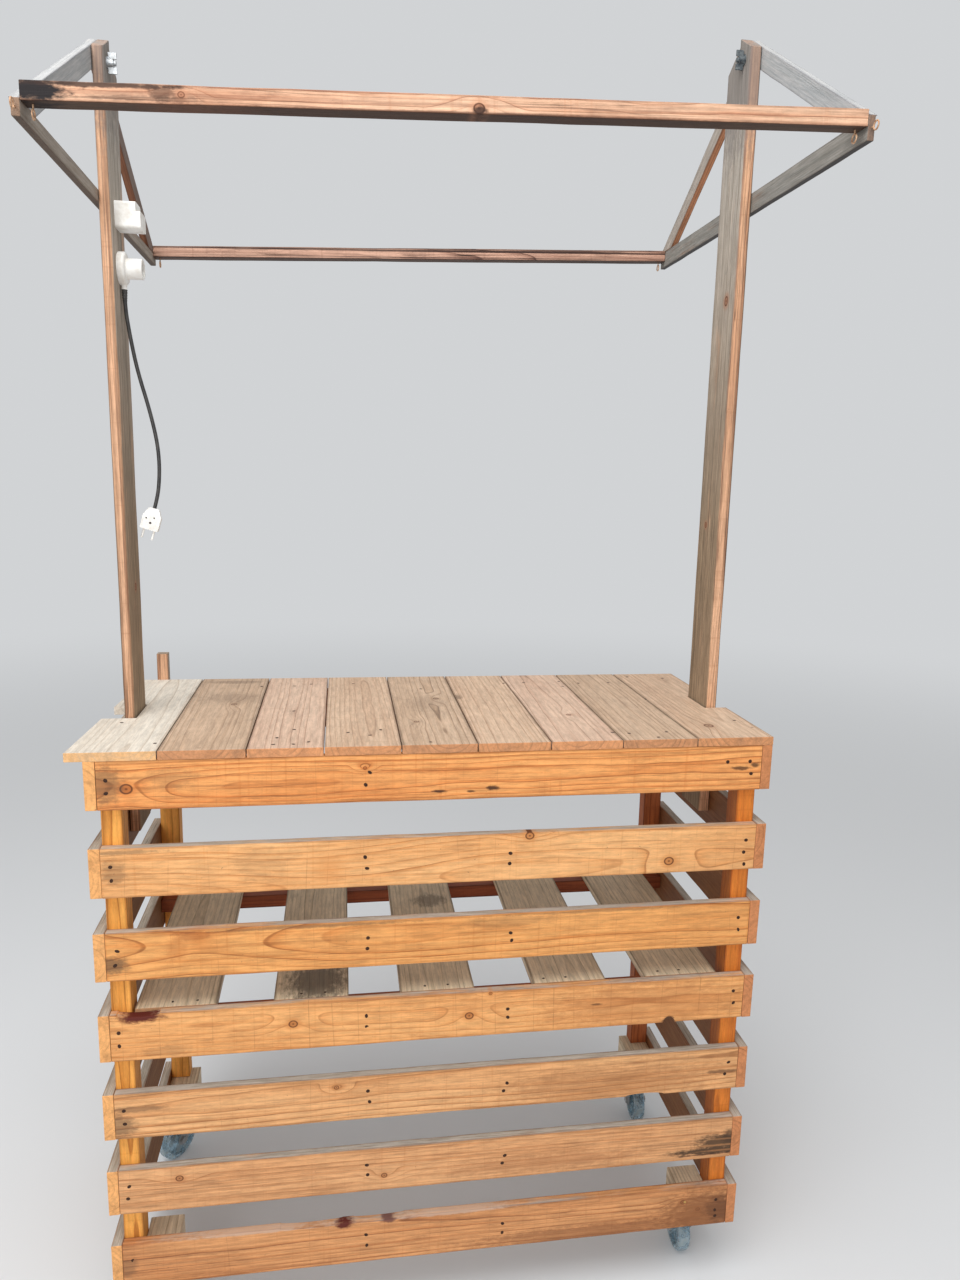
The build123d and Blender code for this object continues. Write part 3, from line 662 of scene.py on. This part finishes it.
def rails_and_batten():
    """The roof's front rail, sooty at its left end, its darker rear rail, and the rear batten."""
    thickness = 0.025
    low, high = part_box("roof_rail_front")
    along = Vector((high[0] - low[0], 0, high[2] - low[2] - thickness)).normalized()
    across = along.cross(Y)
    board("roof_rail_front", "rail", along, across, 48.0, slot="orange_wood",
          knots={0: ((-395, 0, 4), (10, -5, 7))},
          marks={0: ((-370, 0, 110, 40, 0.3, (150, 98, 72)), (-582, 2, 56, 26, 1.0, (30, 24, 26)),
                     (-500, 9, 150, 5, 0.9, SOOT), (-420, 0, 22, 12, 0.6, SOOT),
                     (-440, -6, 110, 5, 0.5, SOOT), (12, -8, 14, 9, 0.9, SOOT),
                     (0, -12, 600, 3, 0.5, SOOT))})
    board("roof_rail_rear", "back rail", along, across, 49.0, slot="weathered_wood")
    board("rear_batten", "upright", Z, X, 50.0, slot="weathered_wood")


# Nails and screws

# Columns of nails across the front: their place, and how far over and under a board's middle
NAIL_COLUMNS = ((17, 12, -14), (457, 12, -9), (724, 8, -11), (1178, 13, -12))
# Boards with no nails in a column, by their number and the column's place
BARE_SPOTS = ((0, 724), (5, 1178))
# Nails in the top, from its left and its front
TOP_NAILS = ((3, 189), (40, 60), (90, 48), (169, 16), (196, 42), (238, 470), (294, 25), (329, 24),
             (355, 36), (298, 66), (326, 118), (319, 252), (310, 470), (346, 486), (425, 90),
             (465, 70), (486, 104), (440, 484), (535, 52), (572, 18), (590, 8), (589, 426),
             (640, 478), (705, 81), (756, 68), (727, 487), (785, 470), (819, 50), (822, 12),
             (833, 473), (921, 53), (916, 15), (919, 482), (916, 432), (961, 461), (951, 45),
             (999, 16), (1026, 49), (1033, 461), (1070, 303), (1104, 93), (1141, 99), (1194, 119),
             (1208, 66), (1098, 520), (1180, 500))


def drive(mesh, at, facing, radius):
    """One sunk head, a little out of round."""
    depth, sunk = 0.004, 0.0021
    turn = facing.to_track_quat("Z", "Y").to_matrix().to_4x4()
    odd = noise.noise(at * 400.0)
    shape = Matrix.Diagonal((1.0 + 0.4 * odd, 1.0 - 0.3 * odd, 1.0, 1.0))
    bmesh.ops.create_cone(mesh, cap_ends=True, segments=10, radius1=radius, radius2=radius * 0.8,
                          depth=depth, matrix=Matrix.Translation(at - facing * sunk) @ turn
                          @ Matrix.Rotation(odd * 9.0, 4, "Z") @ shape)


def fastener(name, mesh, material):
    """Heads of one metal, sunk in the boards."""
    piece = link(name, mesh)
    piece.data.materials.append(material)


def board_middle(number):
    """The height of a front board's middle: the apron is 0, and the slats count from the top."""
    if number == 0:
        return APRON_MIDDLE
    low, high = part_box("front_slat_%d" % number)
    return (low[2] + high[2]) * 500


def nails():
    """Nails go in pairs, where a board crosses a post or crossed an old pallet's bearers."""
    slat_nail, top_nail, side_nail, shelf_nail, brass_screw = 0.0045, 0.0044, 0.004, 0.0032, 0.0036
    mesh = bmesh.new()
    for index in range(7):
        middle = board_middle(index)
        for x, rise, fall in NAIL_COLUMNS:
            if (index, x) in BARE_SPOTS:
                continue
            for z in (rise, fall):
                shake = stray(Vector((x * 0.37, z * 0.71, index * 1.3)))
                drive(mesh, spot(x + shake.x * 9, 0, middle + z + shake.z * 4), -Y, slat_nail)
    for x, z in ((1132, 1129), (1180, 922), (1177, 141)):
        drive(mesh, spot(x, 0, z), -Y, slat_nail)
    for x, y in TOP_NAILS:
        drive(mesh, spot(x, y, COUNTER_TOP), Z, top_nail)
    for side, x in ((-1, -20.0), (1, 1220.0)):
        for index in range(7):
            middle = board_middle(index)
            for y in (34, 532):
                for z in (19, -21):
                    shake = stray(Vector((y * 0.7, z * 1.3, index * 1.7 + side)))
                    at = spot(x, y + shake.x * 8, middle + z + shake.z * 9)
                    drive(mesh, at, X * side, side_nail)
    for x in range(104, 1200, 232):
        for y in (34, 496):
            drive(mesh, spot(x, y, SHELF_TOP), Z, shelf_nail)
            drive(mesh, spot(x + 44, y, SHELF_TOP), Z, shelf_nail)
    fastener("nail_heads", mesh, rust_finish("rusty nail", (50, 33, 26), (82, 56, 42)))

    mesh = bmesh.new()
    for x, z in ((1109, 181), (1138, 161), (1105, 138)):
        drive(mesh, spot(x, 0, z), -Y, brass_screw)
    fastener("brass_screws", mesh, rust_finish("dull brass", (170, 134, 76), (214, 180, 112)))


# Lead of the lamp holder

def patina(tree, shader, bloom, stops, start, end, smooth, rough):
    """Colour and roughness that follow the same patches of dust, wear or rust."""
    tree.links.new(ramp(tree, bloom, stops), shader.inputs["Base Color"])
    tree.links.new(fade(tree, bloom, start, end, smooth, rough), shader.inputs["Roughness"])


def lead_finish():
    """A grey rubbery sheath."""
    material, tree, shader = finish("grey lead sheath")
    place = local(tree)
    grime = cloud(tree, place, 60.0, 4.0)
    patina(tree, shader, grime, ((0.3, (40, 40, 42)), (0.7, (70, 68, 66))), 0.2, 0.8, 0.35, 0.55)
    relief(tree, shader, cloud(tree, place, 900.0), 0.15, 0.0003)
    return material


def plastic_finish(name, pale, dusty):
    """Plastic that dust has dulled in patches."""
    material, tree, shader = finish(name)
    place = local(tree)
    grime = cloud(tree, place, 38.0, 5.0, 2.0, 0.65)
    patina(tree, shader, grime, ((0.42, pale), (0.74, dusty)), 0.3, 0.8, 0.32, 0.6)
    relief(tree, shader, cloud(tree, place, 700.0), 0.12, 0.0003)
    return material


def plug_screws():
    """Small dark screws in the plug's flat face."""
    low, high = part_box("cord_plug")
    middle = (Vector(low) + Vector(high)) / 2
    mesh = bmesh.new()
    for x, z, radius in ((0.0, 2.0, 2.8), (-7.0, 12.0, 1.7), (7.5, 11.0, 1.7)):
        at = Vector((middle.x + x / 1000, low[1], middle.z + z / 1000))
        drive(mesh, at + Y * 0.0001, -Y, radius / 1000)
    piece = link("plug_screws", mesh)
    piece.data.materials.append(rust_finish("dark screw", (58, 50, 48), (96, 84, 78)))


def lead():
    """The lead hangs from the lamp holder's gland, bows to the right and ends in its plug."""
    start = spot(26.5, 273.0, 1968.0)
    points = ((0, 0, 0), (0, 0, -30), (3.5, 0.5, -62), (8.5, 1.5, -97), (14, 3, -130),
              (20.5, 4.5, -160), (30, 5.5, -196), (39, 6, -236), (45.5, 5, -272), (48, 3.5, -306),
              (47, 2, -340), (43, 1, -371), (36.5, 0, -394))
    sheath = lead_finish()
    data = bpy.data.curves.new("lamp_lead", "CURVE")
    data.dimensions = "3D"
    data.bevel_depth = 0.0035
    data.bevel_resolution = 5
    data.use_fill_caps = True
    spline = data.splines.new("NURBS")
    spline.points.add(len(points) - 1)
    for point, offset in zip(spline.points, points):
        point.co = (*(start + Vector(offset) / 1000), 1.0)
    spline.order_u = 3
    spline.use_endpoint_u = True
    spline.resolution_u = 12
    data.materials.append(sheath)
    cord = bpy.data.objects.new("lamp_lead", data)
    bpy.context.scene.collection.objects.link(cord)
    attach(cord, "stall")
    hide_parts("lamp_cord")
    strain_relief(start, sheath)


def strain_relief(start, sheath):
    """The ribbed sleeve round the lead where it leaves the gland."""
    rib, squeeze = 0.0023, 0.13
    mesh = bmesh.new()
    bmesh.ops.create_cone(mesh, cap_ends=True, segments=24, radius1=0.0039, radius2=0.0056,
                          depth=0.024, matrix=Matrix.Translation(start - Z * 0.0115))
    for step in range(1, 10):
        cut_across(mesh, start - Z * rib * step, Z)
    for v in mesh.verts:
        groove = round((start.z - v.co.z) / rib) % 2
        if groove and -0.022 < v.co.z - start.z < -0.001:
            v.co.x += (start.x - v.co.x) * squeeze
            v.co.y += (start.y - v.co.y) * squeeze
    relief_piece = link("lead_strain_relief", mesh)
    relief_piece.data.materials.append(sheath)


# Metal and wheels

def zinc_finish():
    """Dull zinc with brownish patches."""
    material, tree, shader = finish("dull zinc plate")
    place = local(tree)
    bloom = cloud(tree, place, 70.0, 5.0, 1.0, 0.65)
    stops = ((0.35, (186, 190, 194)), (0.6, (158, 160, 160)), (0.8, (126, 112, 98)))
    patina(tree, shader, bloom, stops, 0.3, 0.75, 0.28, 0.6)
    shader.inputs["Metallic"].default_value = 0.9
    relief(tree, shader, cloud(tree, place, 420.0, 3.0), 0.15, 0.0003)
    return material


def rust_finish(name, dark, light):
    """Half-dull metal that is speckled between two colours."""
    material, tree, shader = finish(name)
    bloom = cloud(tree, local(tree), 240.0, 4.0, 3.0, 0.6)
    patina(tree, shader, bloom, ((0.35, dark), (0.7, light)), 0.3, 0.7, 0.5, 0.85)
    shader.inputs["Metallic"].default_value = 0.5
    relief(tree, shader, bloom, 0.3, 0.0004)
    return material


def gel_finish(name, centre, axle):
    """Dusty clear gel round a bright metal hub."""
    material, tree, shader = finish(name)
    place = add(tree, "Mapping", {"Vector": local(tree), "Location": centre},
                vector_type="TEXTURE").outputs[0]
    reach = vcalc(tree, "LENGTH", vcalc(tree, "CROSS_PRODUCT", place, axle))
    hub = fade(tree, reach, 0.0135, 0.0125)
    dust = cloud(tree, place, 55.0, 3.0, 4.0, 0.5)
    gel = ramp(tree, dust, ((0.4, (168, 200, 218)), (0.75, (176, 182, 180))))
    metal = ramp(tree, dust, ((0.35, (214, 216, 218)), (0.7, (128, 122, 114))))
    tree.links.new(blend(tree, hub, gel, metal), shader.inputs["Base Color"])
    tree.links.new(fade(tree, dust, 0.35, 0.75, 0.1, 0.5), shader.inputs["Roughness"])
    tree.links.new(hub, shader.inputs["Metallic"])
    tree.links.new(fade(tree, dust, 0.4, 0.8, 0.75, 0.2), shader.inputs["Transmission Weight"])
    shader.inputs["IOR"].default_value = 1.45
    relief(tree, shader, cloud(tree, place, 300.0), 0.04, 0.0003)
    return material


def paint_node(node, material):
    """A plain node keeps its mesh and gets one material."""
    data = frame["nodes"][node].data
    data.materials.clear()
    data.materials.append(material)


def hardware():
    """The casters, the bolts, the eyes and the electric fittings."""
    zinc = zinc_finish()
    white = plastic_finish("aged white plastic", (250, 249, 245), (216, 210, 200))
    axles = {"caster_" + joint["child"]: joint["axis"] for joint in frame["joints"]}
    for node in frame["nodes"]:
        if node.startswith(("caster_fork", "caster_plates", "wing_bolt")):
            paint_node(node, zinc)
        elif node.startswith("caster_wheel"):
            low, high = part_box(node)
            centre = (Vector(low) + Vector(high)) / 2
            paint_node(node, gel_finish(node + " gel", centre, axles[node]))
        elif node in ("outlet_box", "lamp_holder", "cord_plug"):
            paint_node(node, white)
    # The right wing bolt gets a darker zinc: painted shade
    paint_node("wing_bolt_right", rust_finish("zinc in painted shade", (66, 74, 80), (128, 134, 136)))
    paint_node("screw_eyes", rust_finish("rusty wire", (170, 124, 92), (236, 204, 170)))


# Floor and light

BACKDROP = tone(208, 210, 212)


def seen_directly(tree):
    """1 where the camera sees it, in metal or through gel too, and 0 where it only gives light."""
    path = add(tree, "LightPath").outputs
    seen = calc(tree, "MAXIMUM", path["Is Camera Ray"], path["Is Glossy Ray"])
    return calc(tree, "MAXIMUM", seen, path["Is Transmission Ray"])


def floor():
    """A wide pale floor that fades into the backdrop."""
    mesh = bmesh.new()
    bmesh.ops.create_grid(mesh, x_segments=2, y_segments=2, size=9.0)
    data = bpy.data.meshes.new("studio_floor")
    mesh.to_mesh(data)
    mesh.free()
    ground = bpy.data.objects.new("studio_floor", data)
    bpy.context.scene.collection.objects.link(ground)
    material, tree, shader = finish("pale studio floor")
    shader.inputs["Base Color"].default_value = tone(224, 226, 228)
    shader.inputs["Roughness"].default_value = 0.85
    away = vcalc(tree, "LENGTH", local(tree))
    strength = fade(tree, seen_directly(tree), 0.0, 1.0, 0.5, 1.0)
    glow = add(tree, "Emission", {"Color": BACKDROP, "Strength": strength})
    mixed = add(tree, "MixShader", {0: fade(tree, away, 1.6, 8.5), 1: shader.outputs[0],
                                    2: glow.outputs[0]})
    tree.links.new(mixed.outputs[0], tree.nodes["Material Output"].inputs["Surface"])
    data.materials.append(material)


def lamp(name, place, aim, size, power):
    """A square soft light, turned to a place on the stall."""
    data = bpy.data.lights.new(name, "AREA")
    data.shape = "SQUARE"
    data.size = size
    data.energy = power
    light = bpy.data.objects.new(name, data)
    light.location = place
    light.rotation_euler = (Vector(aim) - Vector(place)).to_track_quat("-Z", "Y").to_euler()
    bpy.context.scene.collection.objects.link(light)


def studio():
    """A pale grey surround, a broad soft light overhead and a weaker one from the front."""
    bpy.context.scene.view_settings.view_transform = "Standard"
    world = bpy.data.worlds.new("studio")
    world.use_nodes = True
    bpy.context.scene.world = world
    tree = world.node_tree
    seen = seen_directly(tree)
    surround = tree.nodes["Background"]
    tree.links.new(blend(tree, seen, (1.0, 1.0, 1.0, 1.0), BACKDROP), surround.inputs["Color"])
    tree.links.new(fade(tree, seen, 0.0, 1.0, 0.5, 1.0), surround.inputs["Strength"])
    lamp("overhead", (-0.6, -1.4, 4.2), (0.0, 0.0, 0.9), 3.0, 108.0)
    lamp("front", (-1.4, -3.6, 2.2), (0.0, 0.0, 1.1), 2.4, 52.0)


set_camera()
plug_screws()
lead()
front_boards()
for side in ("left", "right"):
    side_boards(side)
top_and_shelf()
rails_and_batten()
nails()
hardware()
floor()
studio()
